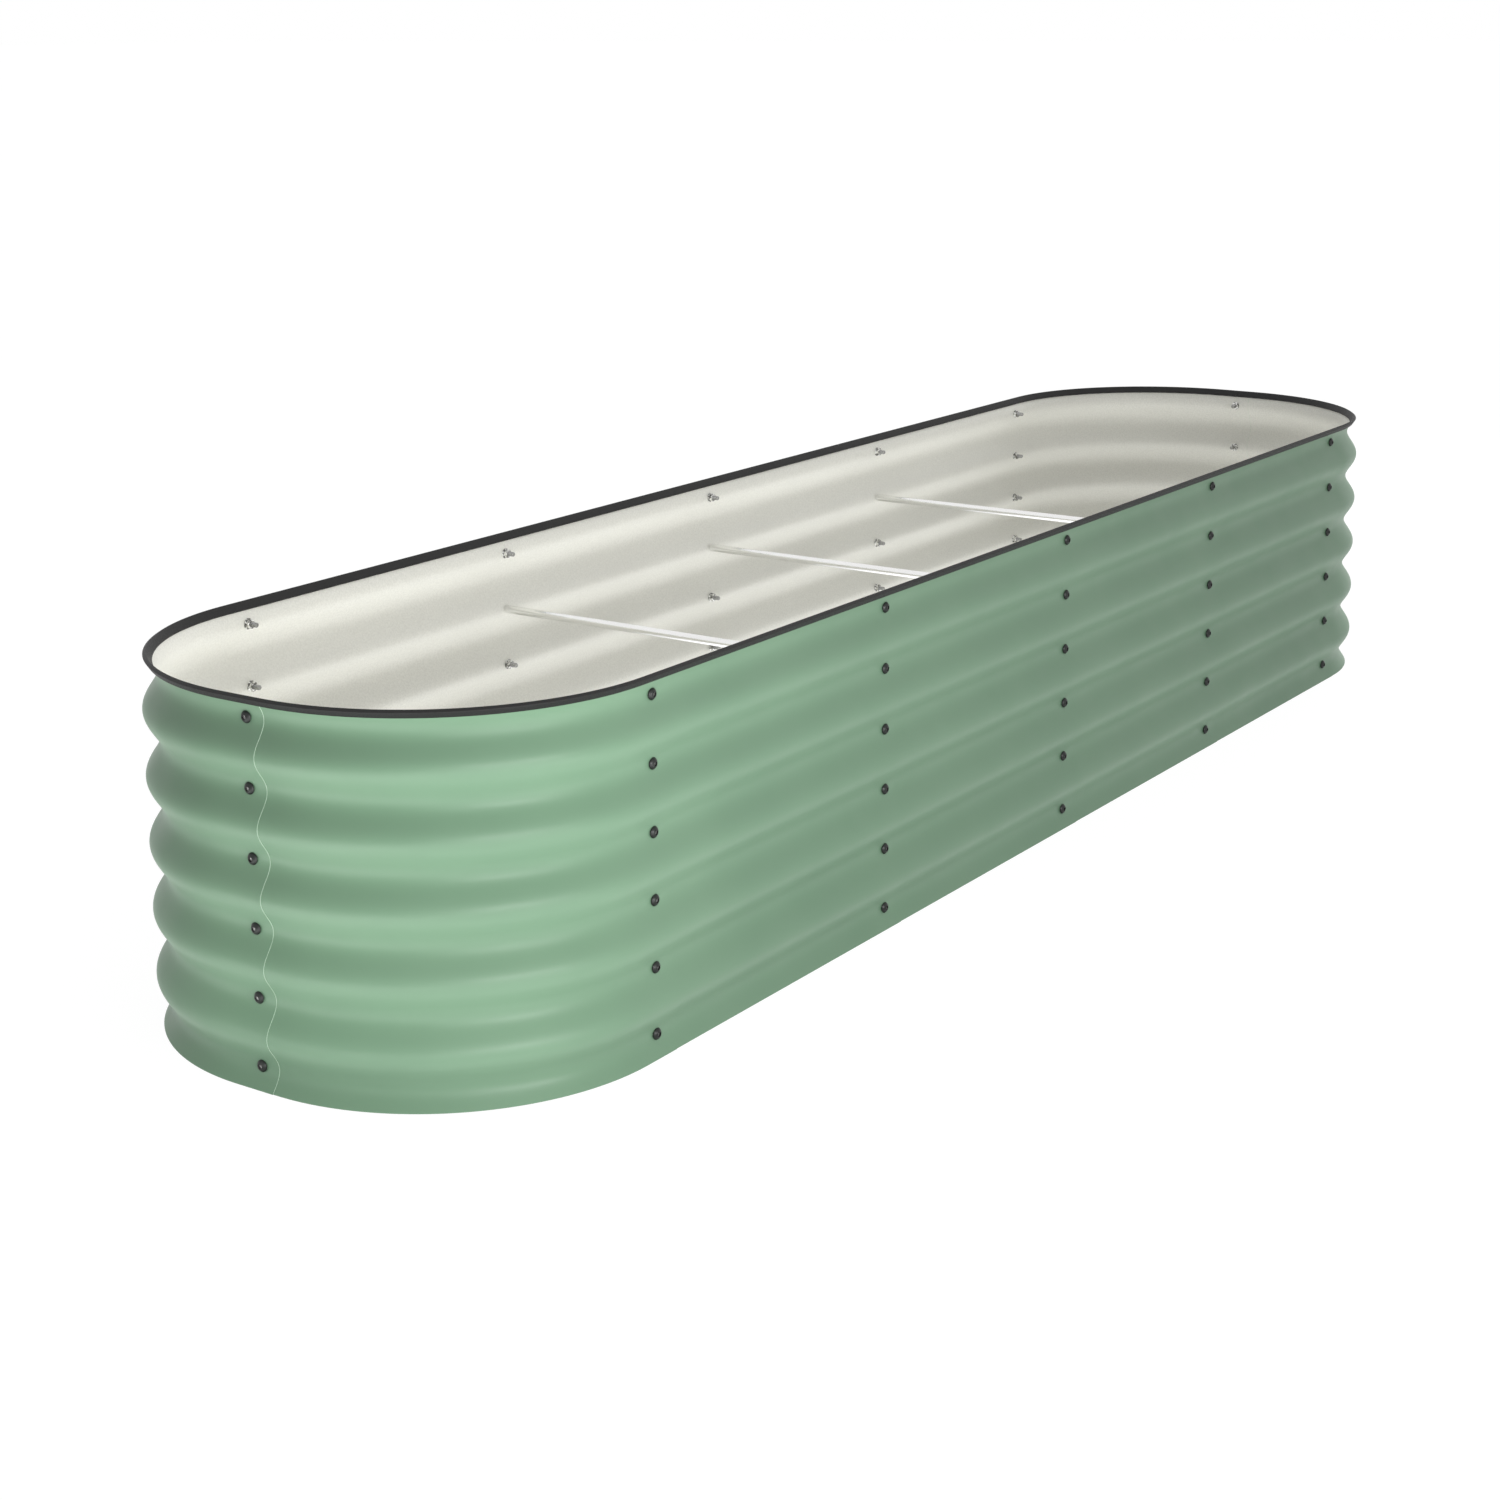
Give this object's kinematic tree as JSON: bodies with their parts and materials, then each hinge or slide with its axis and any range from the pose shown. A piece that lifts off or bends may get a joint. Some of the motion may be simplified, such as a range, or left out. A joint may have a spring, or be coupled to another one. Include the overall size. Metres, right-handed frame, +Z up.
{
  "type": "raised garden bed",
  "caption": "Oblong raised garden bed of corrugated steel panels bolted in a ring, open at top and bottom, with cross rods and a rubber-edged rim.",
  "frame": {"origin": "on the ground at the middle of the bed: the bottom centre of the bounding box", "axes": "+X along the length of the bed, +Y across it from the front wall to the back wall, +Z up"},
  "size_m": [2.4292, 0.6004, 0.4126],
  "materials": {
    "painted_sheet": "satin sage green outside, off-white inside",
    "rubber_edging": "matte dark grey",
    "black_bolt": "dark coated steel",
    "bright_steel": "bright zinc-plated steel"
  },
  "bodies": {
    "root": {"front_panel_1": "painted_sheet", "front_panel_2": "painted_sheet", "front_panel_3": "painted_sheet", "front_panel_4": "painted_sheet", "back_panel_1": "painted_sheet", "back_panel_2": "painted_sheet", "back_panel_3": "painted_sheet", "back_panel_4": "painted_sheet", "corner_panel_front_right": "painted_sheet", "corner_panel_back_right": "painted_sheet", "corner_panel_back_left": "painted_sheet", "corner_panel_front_left": "painted_sheet", "cross_rod_1": "bright_steel", "cross_rod_2": "bright_steel", "cross_rod_3": "bright_steel", "rim_edging": "rubber_edging", "top_bolt_front_1": "black_bolt", "second_bolt_front_1": "black_bolt", "top_nut_front_1": "bright_steel", "second_nut_front_1": "bright_steel", "top_bolt_front_2": "black_bolt", "second_bolt_front_2": "black_bolt", "top_nut_front_2": "bright_steel", "top_bolt_front_3": "black_bolt", "second_bolt_front_3": "black_bolt", "top_nut_front_3": "bright_steel", "top_bolt_front_4": "black_bolt", "second_bolt_front_4": "black_bolt", "top_nut_front_4": "bright_steel", "top_bolt_front_5": "black_bolt", "second_bolt_front_5": "black_bolt", "top_nut_front_5": "bright_steel", "second_nut_front_5": "bright_steel", "top_bolt_right_end": "black_bolt", "second_bolt_right_end": "black_bolt", "top_nut_right_end": "bright_steel", "second_nut_right_end": "bright_steel", "top_bolt_back_1": "black_bolt", "second_bolt_back_1": "black_bolt", "top_nut_back_1": "bright_steel", "second_nut_back_1": "bright_steel", "top_bolt_back_2": "black_bolt", "second_bolt_back_2": "black_bolt", "top_nut_back_2": "bright_steel", "top_bolt_back_3": "black_bolt", "second_bolt_back_3": "black_bolt", "top_nut_back_3": "bright_steel", "top_bolt_back_4": "black_bolt", "second_bolt_back_4": "black_bolt", "top_nut_back_4": "bright_steel", "top_bolt_back_5": "black_bolt", "second_bolt_back_5": "black_bolt", "top_nut_back_5": "bright_steel", "second_nut_back_5": "bright_steel", "top_bolt_left_end": "black_bolt", "second_bolt_left_end": "black_bolt", "top_nut_left_end": "bright_steel", "second_nut_left_end": "bright_steel"}
  },
  "joints": []
}
